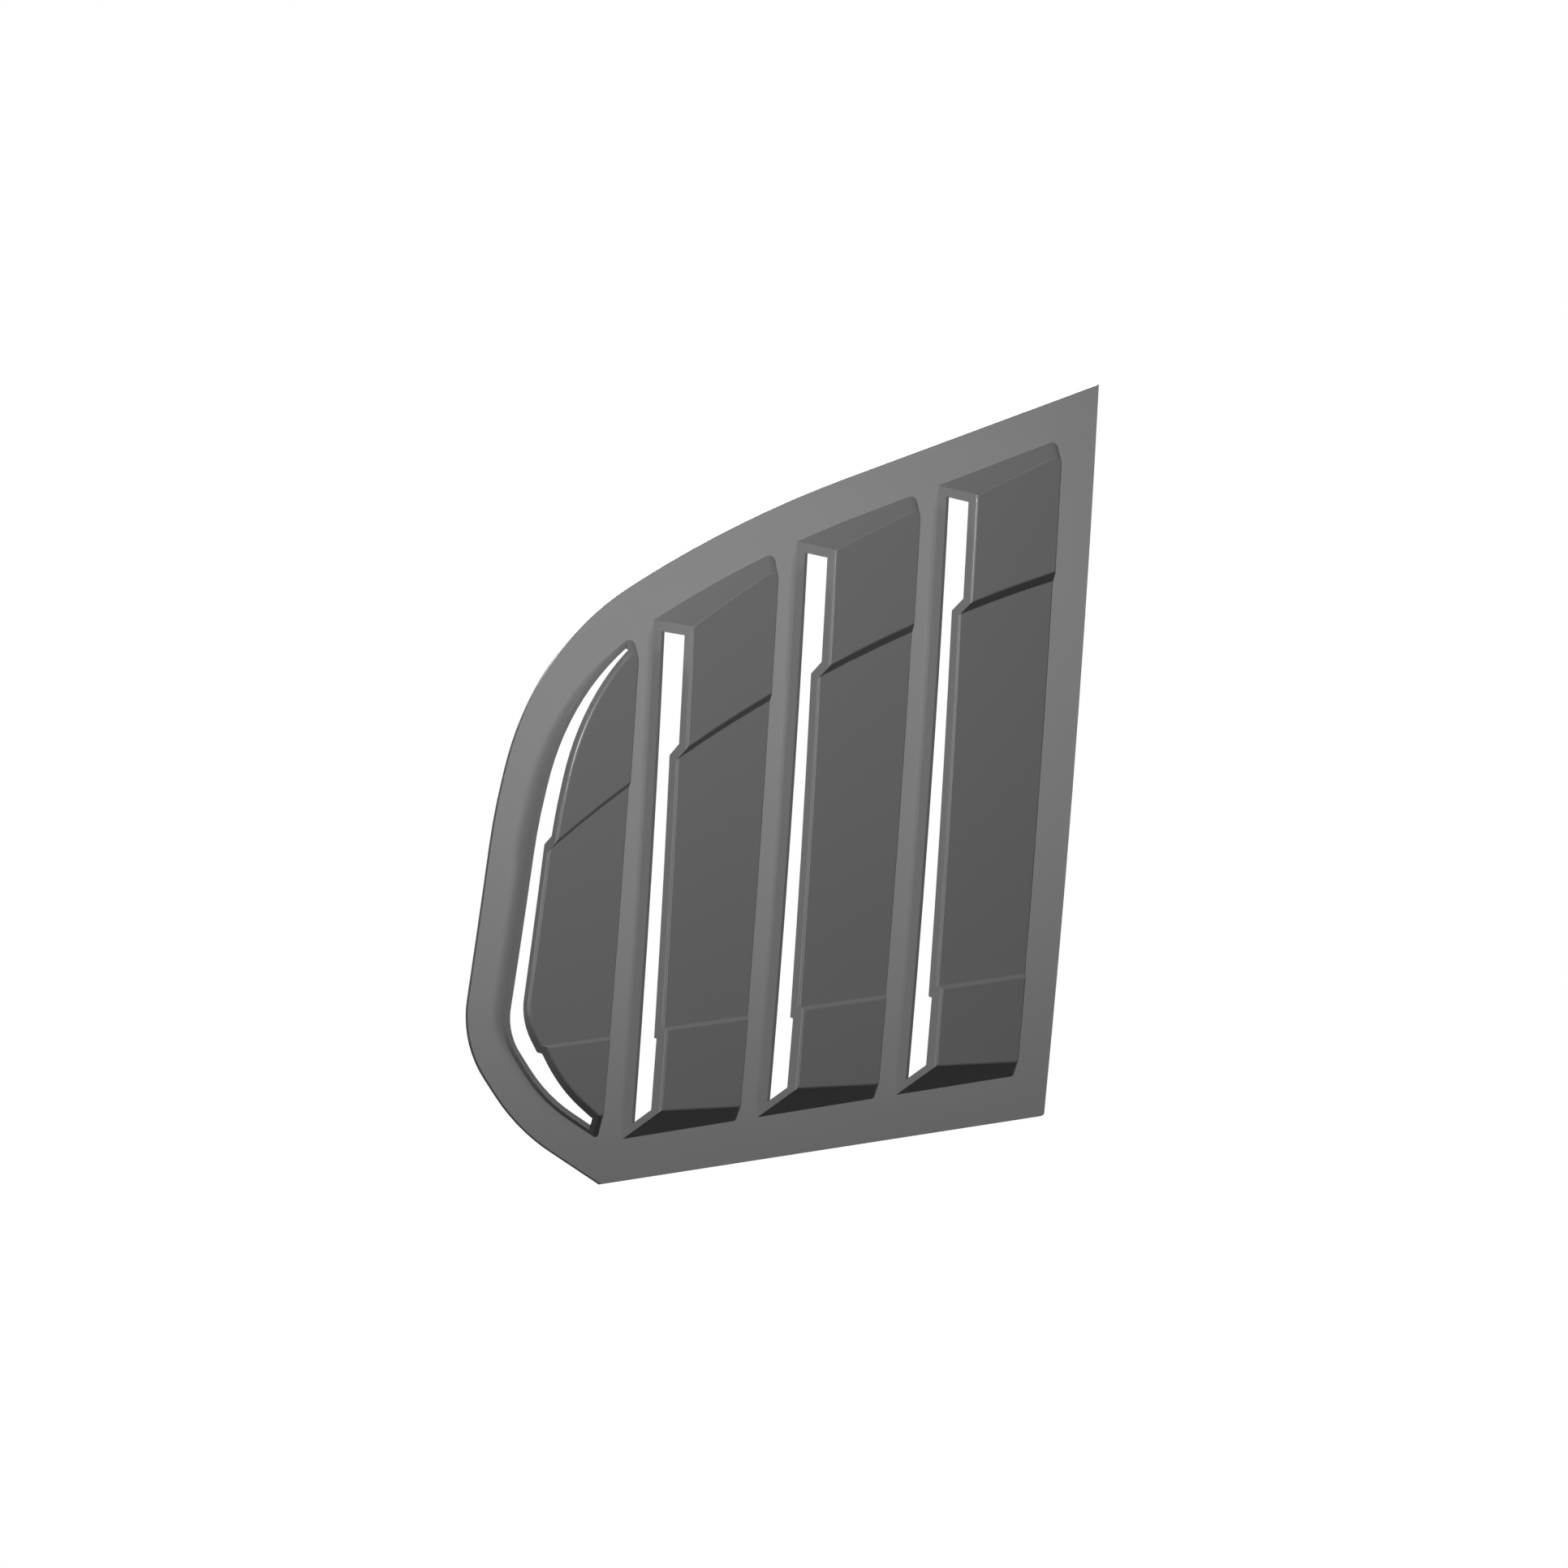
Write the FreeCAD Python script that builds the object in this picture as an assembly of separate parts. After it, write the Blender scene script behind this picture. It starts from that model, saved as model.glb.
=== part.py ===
"""Louver panel for a rear quarter window: one moulded plastic shell with hollow scoops.

Frame: +X forward along the car, +Z up along the louvers, outer face towards -Y.
The origin lies on the inner face, at the crest of the panel's curve. Sizes in millimetres.
Outline places are measured from the rear end of the bottom edge.
"""
import FreeCAD, Part

import math
import os

from FreeCAD import Vector

# Shell
wall = 1.8
glass_radius = 3200.0
crest_x = 68.0
crest_z = 181.0

# Panel outline
front_bottom_x = 200.3
front_bottom_z = 58.3
front_top_x = 204.5
front_top_z = 362.7
front_bottom_round = 1.5
roof_bend_x = 38.6
roof_bend_z = 280.9
roof_bend_radius = 597.0
shoulder_x = -49.6
shoulder_z = 214.4
shoulder_radius = 134.5
hip_x = -62.5
hip_z = 144.0
hip_radius = 250.0
heel_x = -69.3
heel_z = 48.1
heel_radius = 41.0
toe_x = -40.1
toe_z = 16.6
toe_radius = 78.0

# Border left flat round the louvers
border = 17.0
bottom_border = 18.5

# Louvers: the first one fills the rounded rear end, the others stand at one pitch
louver_count = 4
first_rear_x = -3.0
second_front_x = 5.4
louver_pitch = 63.3
louver_width = 53.9
front_leans = (0.0, -0.9, -0.1, 0.2)
rear_leans = (0.0, -0.1, 0.3, 0.5)
cap_draft = 24.0
front_draft = 24.0
rear_draft = 21.0
first_draft = 10.5

# Blade heights above the panel's face, at the open front edge and at the rear edge
upper_front_height = 18.4
upper_rear_height = 11.5
middle_front_height = 14.2
middle_rear_height = 6.5
middle_fall = 0.7
lower_front_height = 17.5
lower_rear_height = 10.2

# Steps across the blades
upper_step_rear_x = -44.4
upper_step_rear_z = 129.6
upper_step_front_x = 181.3
upper_step_front_z = 278.2
upper_step_radius = 860.0
upper_step_draft = 33.0
first_step_draft = 27.0
lower_step_rise = 56.6
lower_step_draft = 25.0

# Slots in the open front walls
slot_bottom_band = 4.3
slot_top_band = 4.5
lower_slot_top_band = 5.4
slot_end_band = 3.1
first_slot_bottom_band = 1.7
first_slot_top_band = 3.6
first_slot_end_band = 4.6

# Rounded edges
edge_round = 1.0
rear_top_round = 3.3
rear_bottom_round = 2.2
least_round = 0.3

# Share of a side that the roundings at its two ends may take up together
side_share = 0.98

# Reach of the working solids past the panel
reach = 60.0
depth_below = 14.0
height_above = 24.0
wall_overlap = 8.0


def tangent(degrees):
    """Tangent of an angle given in degrees."""
    return math.tan(math.radians(degrees))


def cosine(degrees):
    """Cosine of an angle given in degrees."""
    return math.cos(math.radians(degrees))


def panel_corners():
    """Corners of the panel outline with their rounding, anticlockwise from the bottom rear end."""
    corners = [
        (0.0, 0.0, 0.0),
        (front_bottom_x, front_bottom_z, front_bottom_round),
        (front_top_x, front_top_z, 0.0),
        (roof_bend_x, roof_bend_z, roof_bend_radius),
        (shoulder_x, shoulder_z, shoulder_radius),
        (hip_x, hip_z, hip_radius),
        (heel_x, heel_z, heel_radius),
        (toe_x, toe_z, toe_radius),
    ]
    return fitted(corners)


def side_line(start, end, inset):
    """A point and direction of one side, moved inwards by the inset."""
    dx, dz = end[0] - start[0], end[1] - start[1]
    length = math.hypot(dx, dz)
    dx, dz = dx / length, dz / length
    return start[0] - dz * inset, start[1] + dx * inset, dx, dz


def crossing(first, second):
    """Where two side lines cross."""
    x1, z1, dx1, dz1 = first
    x2, z2, dx2, dz2 = second
    along = ((x2 - x1) * dz2 - (z2 - z1) * dx2) / (dx1 * dz2 - dz1 * dx2)
    return x1 + along * dx1, z1 + along * dz1


def inset_corners(corners, insets):
    """Move each side of an anticlockwise outline inwards; its rounding shrinks with it."""
    count = len(corners)
    lines = [side_line(corners[i], corners[(i + 1) % count], insets[i]) for i in range(count)]
    moved = []
    for i in range(count):
        x, z = crossing(lines[i - 1], lines[i])
        radius = corners[i][2]
        if radius > 0.0:
            turn = lines[i - 1][2] * lines[i][3] - lines[i - 1][3] * lines[i][2]
            radius -= math.copysign(0.5 * (insets[i - 1] + insets[i]), turn)
            radius = max(radius, least_round)
        moved.append((x, z, radius))
    return moved


def fitted(corners):
    """Corners with each rounding limited to what its two sides leave room for."""
    count = len(corners)
    halves = []
    for i in range(count):
        here = place(corners[i], 0.0)
        back = place(corners[i - 1], 0.0) - here
        ahead = place(corners[(i + 1) % count], 0.0) - here
        halves.append(0.5 * back.getAngle(ahead))
    result = []
    for i in range(count):
        radius = corners[i][2]
        setback = radius / math.tan(halves[i])
        for other in (i - 1, (i + 1) % count):
            side = (place(corners[i], 0.0) - place(corners[other], 0.0)).Length
            both = setback + corners[other][2] / math.tan(halves[other])
            if both > side_share * side:
                radius = min(radius, corners[i][2] * side_share * side / both)
        result.append((corners[i][0], corners[i][1], radius))
    return result


def place(corner, level):
    """Point of an outline corner at a level along Y."""
    return Vector(corner[0] - crest_x, level, corner[1] - crest_z)


def rounded_wire(corners, level):
    """Closed wire of lines and tangent arcs through rounded corners, in a plane of constant Y."""
    count = len(corners)
    starts, ends, arcs = [], [], []
    for i in range(count):
        here = place(corners[i], level)
        back = place(corners[i - 1], level) - here
        ahead = place(corners[(i + 1) % count], level) - here
        radius = corners[i][2]
        if radius <= 0.0:
            starts.append(here)
            ends.append(here)
            arcs.append(None)
            continue
        half = 0.5 * back.getAngle(ahead)
        back.normalize()
        ahead.normalize()
        setback = radius / math.tan(half)
        middle = (back + ahead).normalize()
        starts.append(here + back * setback)
        ends.append(here + ahead * setback)
        arcs.append(here + middle * (radius / math.sin(half) - radius))
    edges = []
    for i in range(count):
        if arcs[i] is not None:
            edges.append(Part.Arc(starts[i], arcs[i], ends[i]).toShape())
        edges.append(Part.makeLine(ends[i], starts[(i + 1) % count]))
    return Part.Wire(edges)


def drafted_block(corners, insets, drafts):
    """Block whose sides lean inwards towards the outer face, each at its own draft."""
    low = [inset - depth_below * tangent(draft) for inset, draft in zip(insets, drafts)]
    high = [inset + height_above * tangent(draft) for inset, draft in zip(insets, drafts)]
    back_wire = rounded_wire(inset_corners(corners, low), depth_below - wall)
    front_wire = rounded_wire(inset_corners(corners, high), -height_above - wall)
    return Part.makeLoft([back_wire, front_wire], True, True)


def curved_slab(height):
    """Solid behind a surface that lies a given height outside the panel's face."""
    radius = glass_radius + wall + height
    half = crest_z + reach
    sag = radius - math.sqrt(radius * radius - half * half)
    face_y = -wall - height
    lower = Vector(0, face_y + sag, -half)
    upper = Vector(0, face_y + sag, half)
    arc = Part.Arc(lower, Vector(0, face_y, 0), upper).toShape()
    back_y = depth_below + 2.0 * sag
    corner_up = Vector(0, back_y, half)
    corner_down = Vector(0, back_y, -half)
    sides = [Part.makeLine(upper, corner_up), Part.makeLine(corner_up, corner_down),
             Part.makeLine(corner_down, lower)]
    face = Part.Face(Part.Wire([arc] + sides))
    span = front_top_x - heel_x + 2.0 * reach
    slab = face.extrude(Vector(span, 0, 0))
    slab.translate(Vector(heel_x - reach - crest_x, 0, 0))
    return slab


def front_x(number):
    """Front edge of a louver at the crest's height; the first louver has none of its own."""
    return second_front_x + (number - 1) * louver_pitch


def rear_x(number):
    """Rear edge of a louver at the crest's height."""
    if number == 0:
        return first_rear_x
    return front_x(number) + louver_width


def field_drafts(number):
    """Draft of each side of a louver field: the first louver's curved rear end is steeper."""
    curved = first_draft if number == 0 else cap_draft
    return [cap_draft, 0.0, curved, curved, curved, curved, cap_draft, cap_draft]


def field_block(number, skin, end_gap=0.0):
    """The louver field inside the border, as one block with drafted sides."""
    corners = panel_corners()
    corners[1] = (corners[1][0], corners[1][1], 0.0)
    borders = [bottom_border, 0.0] + [border] * (len(corners) - 2)
    drafts = field_drafts(number)
    insets = [edge + (skin + end_gap) / cosine(draft) for edge, draft in zip(borders, drafts)]
    return drafted_block(corners, insets, drafts)


def beside_wall(x, draft, lean, skin, forward):
    """Solid on one side of an upright wall that is swept along the panel's curve.

    The wall's foot is at x on the face at the crest. It leans inwards by the draft as it
    rises, and turns by the lean. The solid lies forward of the wall, or else behind it.
    Its faces are splines, because such large cones don't cross other curved faces cleanly.
    """
    side = 1.0 if forward else -1.0
    foot = x - crest_x + side * skin / cosine(draft)
    far = foot + side * (front_top_x - heel_x + reach)
    back_y = depth_below + wall_overlap
    front_y = -wall - height_above - wall_overlap
    points = [
        Vector(foot - side * (back_y + wall) * tangent(draft), back_y, 0),
        Vector(foot - side * (front_y + wall) * tangent(draft), front_y, 0),
        Vector(far, front_y, 0),
        Vector(far, back_y, 0),
    ]
    if forward:
        points.reverse()
    face = Part.Face(Part.makePolygon(points + [points[0]]))
    half_turn = math.degrees((crest_z + reach) / glass_radius)
    axis_point = Vector(0, glass_radius, 0)
    face.rotate(axis_point, Vector(1, 0, 0), -half_turn)
    solid = face.revolve(axis_point, Vector(1, 0, 0), 2.0 * half_turn)
    solid.rotate(Vector(x - crest_x, 0, 0), Vector(0, 1, 0), lean)
    return solid.toNurbs().Solids[0]


def between_walls(block, number, skin):
    """What a block leaves between a louver's front and rear walls."""
    strip = block.common(beside_wall(rear_x(number), rear_draft, rear_leans[number], skin, False))
    if number > 0:
        strip = strip.common(beside_wall(front_x(number), front_draft, front_leans[number], skin, True))
    return strip


def blade_tilt(number, front_height, rear_height):
    """Raised front edge of a blade, its distance from the crest line, and its tilt."""
    right = rear_x(number) - rear_height * tangent(rear_draft)
    left = rear_x(number) - louver_width + front_height * tangent(front_draft)
    tilt = math.degrees(math.atan2(front_height - rear_height, right - left))
    return Vector(left - crest_x, -wall - front_height, 0), tilt


def blade_slab(number, front_height, rear_height, fall, skin):
    """Solid under one tilted stretch of blade."""
    pivot, tilt = blade_tilt(number, front_height, rear_height)
    slab = curved_slab(front_height)
    slab.rotate(pivot, Vector(0, 0, 1), tilt)
    slab.rotate(pivot, Vector(1, 0, 0), -fall)
    slab.translate(Vector(0, skin / cosine(tilt), 0))
    return slab


def upper_step_core(number, skin):
    """Everything below the curved upper step, whose face leans back from the blade below it."""
    draft = first_step_draft if number == 0 else upper_step_draft
    chord_x = upper_step_front_x - upper_step_rear_x
    chord_z = upper_step_front_z - upper_step_rear_z
    chord = math.hypot(chord_x, chord_z)
    drop = math.sqrt(upper_step_radius ** 2 - 0.25 * chord * chord)
    centre_x = 0.5 * (upper_step_front_x + upper_step_rear_x) + drop * chord_z / chord
    centre_z = 0.5 * (upper_step_front_z + upper_step_rear_z) - drop * chord_x / chord
    radius = upper_step_radius + skin / cosine(draft)
    middle_height = 0.5 * (upper_front_height + middle_front_height)
    low_radius = radius - (middle_height + reach) * tangent(draft)
    high_radius = radius + (reach - middle_height) * tangent(draft)
    centre = Vector(centre_x - crest_x, reach - wall, centre_z - crest_z)
    core = Part.makeCone(low_radius, high_radius, 2.0 * reach, centre, Vector(0, -1, 0))
    pivot, tilt = blade_tilt(number, upper_front_height, upper_rear_height)
    core.rotate(pivot, Vector(0, 0, 1), tilt)
    return core


def lower_step_block(number, skin):
    """Everything below the straight lower step, which runs along the bottom edge."""
    length = math.hypot(front_bottom_x, front_bottom_z)
    along = Vector(front_bottom_x / length, 0, front_bottom_z / length)
    across = Vector(-front_bottom_z / length, 0, front_bottom_x / length)
    middle_height = 0.5 * (lower_front_height + middle_front_height)
    edge = lower_step_rise - skin / cosine(lower_step_draft)
    back_edge = edge + (middle_height + reach) * tangent(lower_step_draft)
    front_edge = edge - (reach - middle_height) * tangent(lower_step_draft)
    span = crest_z + reach
    start = Vector(-crest_x, 0, -crest_z) - along * span
    back = start + Vector(0, reach - wall, 0)
    front = start + Vector(0, -reach - wall, 0)
    points = [back + across * back_edge, back - across * span, front - across * span, front + across * front_edge]
    block = Part.Face(Part.makePolygon(points + [points[0]])).extrude(along * (3.0 * span))
    pivot, tilt = blade_tilt(number, lower_front_height, lower_rear_height)
    block.rotate(pivot, Vector(0, 0, 1), tilt)
    return block


def stretches(number, skins):
    """Solids under a blade's middle, upper and lower stretches, each lowered by its own skin."""
    middle_skin, upper_skin, lower_skin = skins
    middle = blade_slab(number, middle_front_height, middle_rear_height, middle_fall, middle_skin)
    upper = blade_slab(number, upper_front_height, upper_rear_height, 0.0, upper_skin)
    lower = blade_slab(number, lower_front_height, lower_rear_height, 0.0, lower_skin)
    return [
        middle,
        upper.cut(upper_step_core(number, upper_skin)),
        lower.common(lower_step_block(number, lower_skin)),
    ]


def top_face(solid):
    """Face of a solid that lies furthest out."""
    return min(solid.Faces, key=lambda face: face.CenterOfMass.y)


def rear_corners(block, number):
    """Edges of a louver block where its rear wall meets its top and bottom ends."""
    middle_x = rear_x(number) - 0.5 * louver_width - crest_x
    steep = []
    for edge in block.Edges:
        start, end = edge.Vertexes[0].Point, edge.Vertexes[-1].Point
        if abs(end.y - start.y) > 0.5 * height_above and start.x > middle_x:
            steep.append(edge)
    steep.sort(key=lambda edge: edge.CenterOfMass.z)
    return steep[0], steep[-1]


def louver_form(number, skin, rounding=0.0):
    """Solid form of a louver, its surfaces moved inwards by the skin."""
    block = between_walls(field_block(number, skin), number, skin)
    bottom, top = rear_corners(block, number)
    block = block.makeFillet(max(rear_bottom_round - skin, least_round), [bottom])
    bottom, top = rear_corners(block, number)
    block = block.makeFillet(max(rear_top_round - skin, least_round), [top])
    solids = []
    for stretch in stretches(number, (skin, skin, skin)):
        solid = block.common(stretch)
        if rounding > 0.0:
            solid = solid.makeFillet(rounding, top_face(solid).Edges)
        solids.append(solid)
    return solids[0].fuse(solids[1:])


def slot_top(number):
    """Solid that ends where a slot meets the band left under the blade's edge."""
    if number == 0:
        drop = first_slot_top_band * cosine(first_draft)
        skins = (drop, drop, drop)
    else:
        drop = slot_top_band * cosine(front_draft)
        skins = (drop, drop, lower_slot_top_band * cosine(front_draft))
    middle, upper, lower = stretches(number, skins)
    return middle.fuse([upper, lower])


def slot_cutter(number):
    """Solid that opens the slot in a louver's front wall, square to the wall at its sill."""
    outside = -wall
    inside = 2.0 * wall
    if number == 0:
        zone = field_block(number, outside).cut(field_block(number, inside))
        zone = between_walls(zone, number, first_slot_end_band)
        zone = zone.cut(curved_slab(first_slot_bottom_band))
    else:
        front = front_x(number)
        lean = front_leans[number]
        zone = field_block(number, 0.0, slot_end_band)
        zone = zone.common(beside_wall(front, front_draft, lean, outside, True))
        zone = zone.cut(beside_wall(front, front_draft, lean, inside, True))
        sill_foot = front + slot_bottom_band / math.sin(math.radians(front_draft))
        zone = zone.common(beside_wall(sill_foot, front_draft - 90.0, lean, 0.0, True))
    return zone.common(slot_top(number))


def panel_block():
    """Block inside the panel outline, its sides square to the face."""
    corners = panel_corners()
    flat = [0.0] * len(corners)
    return drafted_block(corners, flat, flat)


def main():
    """Build the shell and write it out."""
    body = panel_block().common(curved_slab(0.0))
    for number in range(louver_count):
        body = body.fuse(louver_form(number, 0.0, edge_round))
    body = body.cut(curved_slab(-wall))
    for number in range(louver_count):
        body = body.cut(louver_form(number, wall))
        body = body.cut(slot_cutter(number))
    os.makedirs("parts", exist_ok=True)
    body.exportStep("parts/louver_panel.step")


main()
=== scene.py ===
"""Studio scene of a louver panel for a car's rear quarter window.

The panel is one moulding, so its shape is the frame's own mesh, dressed here as moulded plastic.
Around it stand a white set that only the camera sees as white, soft studio lights and a
parallel-view camera. Sizes are in metres unless a name says otherwise.
"""
import logging
import math
from dataclasses import dataclass
from enum import Enum
from typing import Any

import bpy
import numpy as np
from mathutils import Matrix, Vector


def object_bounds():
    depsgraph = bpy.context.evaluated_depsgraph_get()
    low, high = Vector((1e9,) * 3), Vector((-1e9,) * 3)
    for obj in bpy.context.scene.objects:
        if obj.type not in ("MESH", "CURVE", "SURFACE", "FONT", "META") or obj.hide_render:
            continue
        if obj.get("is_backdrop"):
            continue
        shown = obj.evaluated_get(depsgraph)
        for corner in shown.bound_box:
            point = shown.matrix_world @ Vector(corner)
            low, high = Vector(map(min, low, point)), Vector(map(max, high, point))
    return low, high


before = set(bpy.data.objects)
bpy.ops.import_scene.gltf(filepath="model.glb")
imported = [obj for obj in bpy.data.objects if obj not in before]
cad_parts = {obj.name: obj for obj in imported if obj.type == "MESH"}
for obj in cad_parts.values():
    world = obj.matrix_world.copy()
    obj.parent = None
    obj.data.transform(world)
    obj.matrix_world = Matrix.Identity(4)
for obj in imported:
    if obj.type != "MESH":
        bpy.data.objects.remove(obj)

LOG = logging.getLogger("louver_panel")
MILLIMETRE = 0.001


def linear(code: str) -> tuple[float, float, float, float]:
    """Turn an sRGB hex colour into linear light.

    Args:
        code: The colour as "#rrggbb".

    Returns:
        Linear red, green and blue, and an alpha of 1.
    """
    shares = [int(code[place:place + 2], 16) / 255.0 for place in (1, 3, 5)]
    red, green, blue = (
        share / 12.92 if share <= 0.04045 else ((share + 0.055) / 1.055) ** 2.4
        for share in shares
    )
    return red, green, blue, 1.0


def add_node(
    tree: bpy.types.NodeTree,
    kind: str,
    settings: dict[str, Any] | None = None,
    values: dict[str, Any] | None = None,
    links: dict[str, bpy.types.NodeSocket] | None = None,
) -> bpy.types.Node:
    """Add a node with its settings, socket values and incoming links.

    Args:
        tree: The node tree to add to.
        kind: The node's type name.
        settings: Attributes of the node itself.
        values: Input socket names and the fixed values they get.
        links: Input socket names and the output sockets that feed them.

    Returns:
        The new node.
    """
    node = tree.nodes.new(kind)
    for name, value in (settings or {}).items():
        setattr(node, name, value)
    for name, value in (values or {}).items():
        node.inputs[name].default_value = value
    for name, socket in (links or {}).items():
        tree.links.new(socket, node.inputs[name])
    return node


def per_metre(size_mm: float) -> float:
    """Pattern scale, in repeats a metre, of a pattern whose features are this many millimetres."""
    return 1.0 / (size_mm * MILLIMETRE)


def towards(azimuth_deg: float, elevation_deg: float) -> Vector:
    """Direction from the panel to a place round it.

    Args:
        azimuth_deg: Turn about Z from straight in front of the outer face, to the right.
        elevation_deg: Rise above the level.

    Returns:
        A vector of length 1.
    """
    azimuth, elevation = math.radians(azimuth_deg), math.radians(elevation_deg)
    level = math.cos(elevation)
    return Vector((math.sin(azimuth) * level, -math.cos(azimuth) * level, math.sin(elevation)))


@dataclass(frozen=True)
class MouldedAbs:
    """Unpainted charcoal ABS, injection moulded in a fine-blasted tool.

    The blasted tool leaves an even satin skin: no grain is seen from a step away, and light
    slides off the raised edges as a soft line.
    """

    colour: str = "#6c6c6c"
    roughness: float = 0.25
    ior: float = 1.5
    specular: float = 0.5
    skin_grain_mm: float = 0.6
    skin_depth_mm: float = 0.004
    skin_strength: float = 0.35
    skin_softness: float = 0.6
    flow_mm: float = 60.0
    flow_change: float = 0.01
    flow_softness: float = 0.5
    noise_detail: float = 2.0

    def material(self) -> bpy.types.Material:
        """Build the plastic.

        Returns:
            A material with a satin skin, whose gloss drifts slightly along the melt's flow.
        """
        material = bpy.data.materials.new("charcoal ABS, blasted mould")
        material.use_nodes = True
        tree = material.node_tree
        tree.nodes.clear()
        place = add_node(tree, "ShaderNodeTexCoord")
        flow = add_node(
            tree, "ShaderNodeTexNoise",
            values={
                "Scale": per_metre(self.flow_mm),
                "Detail": self.noise_detail,
                "Roughness": self.flow_softness,
            },
            links={"Vector": place.outputs["Object"]},
        )
        gloss = add_node(
            tree, "ShaderNodeMapRange",
            values={
                "To Min": self.roughness - self.flow_change,
                "To Max": self.roughness + self.flow_change,
            },
            links={"Value": flow.outputs["Fac"]},
        )
        grain = add_node(
            tree, "ShaderNodeTexNoise",
            values={
                "Scale": per_metre(self.skin_grain_mm),
                "Detail": self.noise_detail,
                "Roughness": self.skin_softness,
            },
            links={"Vector": place.outputs["Object"]},
        )
        skin = add_node(
            tree, "ShaderNodeBump",
            values={"Strength": self.skin_strength, "Distance": self.skin_depth_mm * MILLIMETRE},
            links={"Height": grain.outputs["Fac"]},
        )
        plastic = add_node(
            tree, "ShaderNodeBsdfPrincipled",
            values={
                "Base Color": linear(self.colour),
                "IOR": self.ior,
                "Specular IOR Level": self.specular,
            },
            links={"Roughness": gloss.outputs["Result"], "Normal": skin.outputs["Normal"]},
        )
        add_node(tree, "ShaderNodeOutputMaterial", links={"Surface": plastic.outputs["BSDF"]})
        return material


@dataclass(frozen=True)
class LiftedSetPaint:
    """Matt grey studio paint, lifted for the camera so that it reads as white but keeps shadows.

    The grey throws little light up on the panel's underside.
    """

    colour: str = "#646464"
    lift: float = 0.96

    def material(self) -> bpy.types.Material:
        """Build the paint.

        Returns:
            A material that adds plain white light to the paint for the camera alone.
        """
        material = bpy.data.materials.new("matt grey set paint")
        material.use_nodes = True
        tree = material.node_tree
        tree.nodes.clear()
        path = add_node(tree, "ShaderNodeLightPath")
        paint = add_node(tree, "ShaderNodeBsdfDiffuse", values={"Color": linear(self.colour)})
        lifted = add_node(
            tree, "ShaderNodeMath",
            settings={"operation": "MULTIPLY"},
            values={"Value": self.lift},
        )
        tree.links.new(path.outputs["Is Camera Ray"], lifted.inputs[1])
        glow = add_node(tree, "ShaderNodeEmission", links={"Strength": lifted.outputs["Value"]})
        both = add_node(tree, "ShaderNodeAddShader")
        tree.links.new(paint.outputs["BSDF"], both.inputs[0])
        tree.links.new(glow.outputs["Emission"], both.inputs[1])
        add_node(tree, "ShaderNodeOutputMaterial", links={"Surface": both.outputs["Shader"]})
        return material


@dataclass
class LouverPanel:
    """The one moulding: curved panel, stepped hollow louvers and their slots."""

    node: str = "louver_panel"
    finish: MouldedAbs = MouldedAbs()

    def dress(self) -> bpy.types.Object:
        """Give the frame's own mesh its finish.

        Returns:
            The panel's object, its mesh unchanged.
        """
        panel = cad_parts[self.node]
        material = self.finish.material()
        panel.data.materials.clear()
        panel.data.materials.append(material)
        return panel


@dataclass
class StudioSet:
    """Pale floor well below the panel, and the even light of the room."""

    paint: LiftedSetPaint = LiftedSetPaint()
    floor_drop: float = 0.9
    floor_half_width: float = 6.0
    room_colour: str = "#ffffff"
    room_strength: float = 0.012

    def build(self) -> list[bpy.types.Object]:
        """Make the floor and the room's light.

        Returns:
            The stage's objects.
        """
        low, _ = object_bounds()
        level = low[2] - self.floor_drop
        half = self.floor_half_width
        outline = np.array([
            [-half, -half, level], [half, -half, level], [half, half, level], [-half, half, level],
        ])
        mesh = bpy.data.meshes.new("studio floor")
        mesh.from_pydata(outline.tolist(), [], [(0, 1, 2, 3)])
        floor = bpy.data.objects.new("studio floor", mesh)
        mesh.materials.append(self.paint.material())
        bpy.context.scene.collection.objects.link(floor)
        floor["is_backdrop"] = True
        self.light_room()
        return [floor]

    def light_room(self) -> None:
        """Fill the room with even light, and show plain white behind the panel."""
        world = bpy.data.worlds.new("white studio room")
        bpy.context.scene.world = world
        world.use_nodes = True
        tree = world.node_tree
        tree.nodes.clear()
        path = add_node(tree, "ShaderNodeLightPath")
        strength = add_node(
            tree, "ShaderNodeMapRange",
            values={"To Min": self.room_strength, "To Max": 1.0},
            links={"Value": path.outputs["Is Camera Ray"]},
        )
        room = add_node(
            tree, "ShaderNodeBackground",
            values={"Color": linear(self.room_colour)},
            links={"Strength": strength.outputs["Result"]},
        )
        add_node(tree, "ShaderNodeOutputWorld", links={"Surface": room.outputs["Background"]})


@dataclass(frozen=True)
class LampPlan:
    """Place, size and power of a round lamp, and whether it casts shadows."""

    name: str
    azimuth_deg: float
    elevation_deg: float
    distance: float
    diameter: float
    watts: float
    casts_shadows: bool


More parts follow.
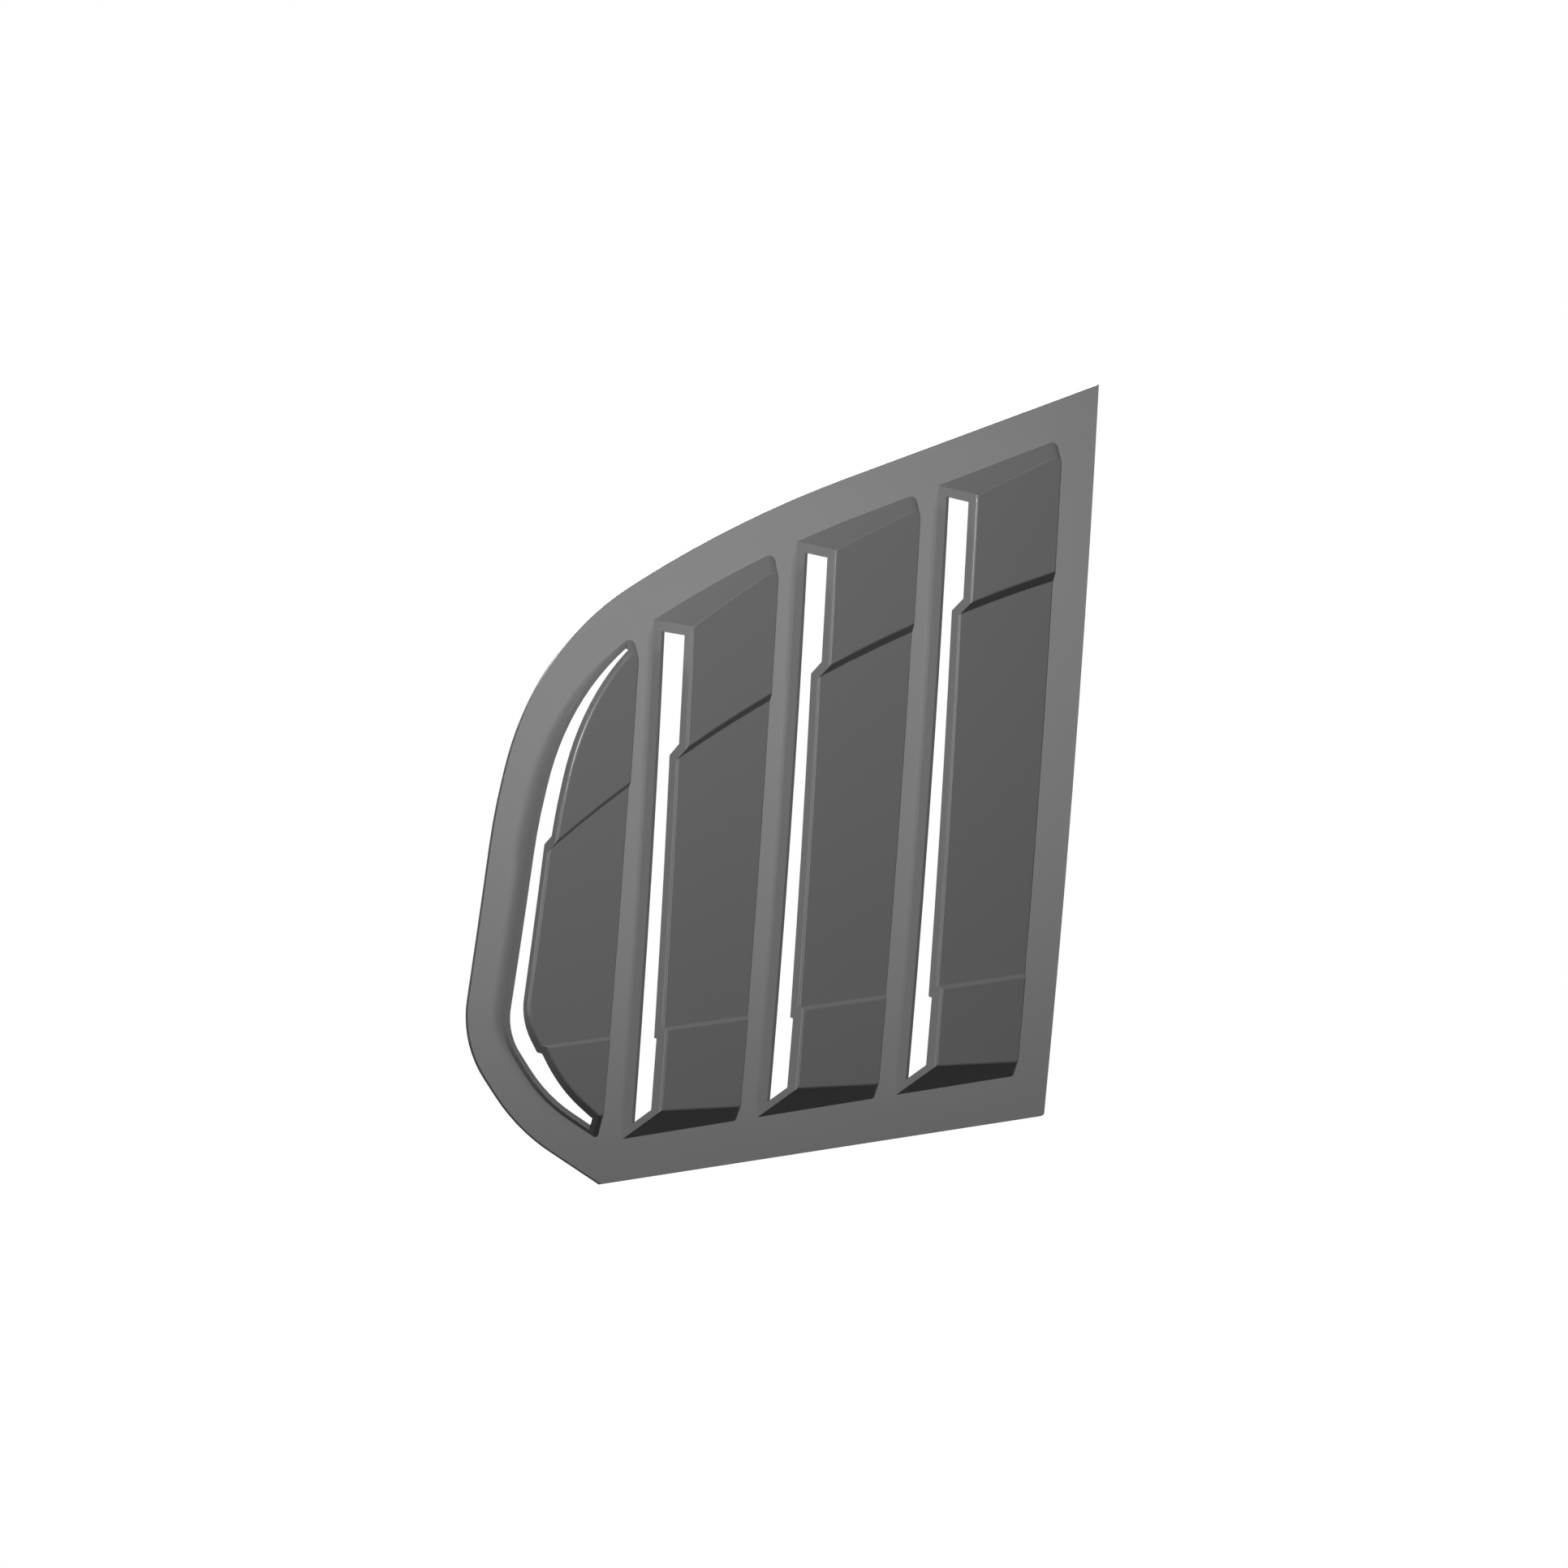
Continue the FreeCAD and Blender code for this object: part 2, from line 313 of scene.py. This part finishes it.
class Lamp(Enum):
    """The lamps round the panel.

    The top and side lamps only model the raised edges and open front walls, so they cast no
    shadow of one louver on the next. The back lamp lights the inner face.
    """

    KEY = LampPlan(
        name="key softbox", azimuth_deg=19.8, elevation_deg=15.1,
        distance=3.1, diameter=1.36, watts=15.6, casts_shadows=True,
    )
    TOP = LampPlan(
        name="top lamp", azimuth_deg=-24.2, elevation_deg=28.6,
        distance=0.89, diameter=0.18, watts=6.3, casts_shadows=False,
    )
    SIDE = LampPlan(
        name="side softbox", azimuth_deg=-86.0, elevation_deg=0.0,
        distance=2.39, diameter=1.77, watts=22.0, casts_shadows=False,
    )
    BACK = LampPlan(
        name="back softbox", azimuth_deg=165.0, elevation_deg=20.0,
        distance=2.2, diameter=1.5, watts=42.0, casts_shadows=True,
    )

    def build(self) -> bpy.types.Object:
        """Make the lamp, turned towards the panel.

        Returns:
            The lamp's object.
        """
        plan = self.value
        data = bpy.data.lights.new(plan.name, "AREA")
        data.shape = "DISK"
        data.size = plan.diameter
        data.energy = plan.watts
        data.use_shadow = plan.casts_shadows
        lamp = bpy.data.objects.new(plan.name, data)
        direction = towards(plan.azimuth_deg, plan.elevation_deg)
        lamp.location = direction * plan.distance
        lamp.rotation_euler = direction.to_track_quat("Z", "Y").to_euler()
        bpy.context.scene.collection.objects.link(lamp)
        lamp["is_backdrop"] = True
        return lamp


@dataclass(frozen=True)
class CatalogueCamera:
    """Parallel view of the panel from behind its rear edge, a little below its middle."""

    azimuth_deg: float = -28.14
    elevation_deg: float = -10.86
    roll_deg: float = 3.84
    frame_width: float = 0.6376
    aim_right: float = 0.00155
    aim_up: float = -0.0051
    distance: float = 3.0

    def build(self) -> bpy.types.Object:
        """Make the camera and set it as the scene's own.

        Returns:
            The camera's object.
        """
        back = towards(self.azimuth_deg, self.elevation_deg)
        level = back.to_track_quat("Z", "Y").to_matrix()
        turn = level @ Matrix.Rotation(math.radians(self.roll_deg), 3, "Z")
        right, up = turn.col[0], turn.col[1]
        data = bpy.data.cameras.new("catalogue camera")
        data.type = "ORTHO"
        data.ortho_scale = self.frame_width
        camera = bpy.data.objects.new("catalogue camera", data)
        camera.location = right * self.aim_right + up * self.aim_up + back * self.distance
        camera.rotation_euler = turn.to_euler()
        bpy.context.scene.collection.objects.link(camera)
        bpy.context.scene.camera = camera
        camera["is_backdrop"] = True
        return camera


def main() -> None:
    """Dress the panel, light it and set the camera."""
    logging.basicConfig(level=logging.INFO, format="%(name)s: %(message)s")
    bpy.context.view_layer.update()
    bpy.context.scene.view_settings.view_transform = "Standard"
    panel = LouverPanel().dress()
    LOG.info("dressed %s, %d faces", panel.name, len(panel.data.polygons))
    for thing in StudioSet().build():
        LOG.info("built %s", thing.name)
    for lamp in Lamp:
        LOG.info("lit %s", lamp.build().name)
    camera = CatalogueCamera().build()
    LOG.info("placed %s", camera.name)


if __name__ == "__main__":
    main()
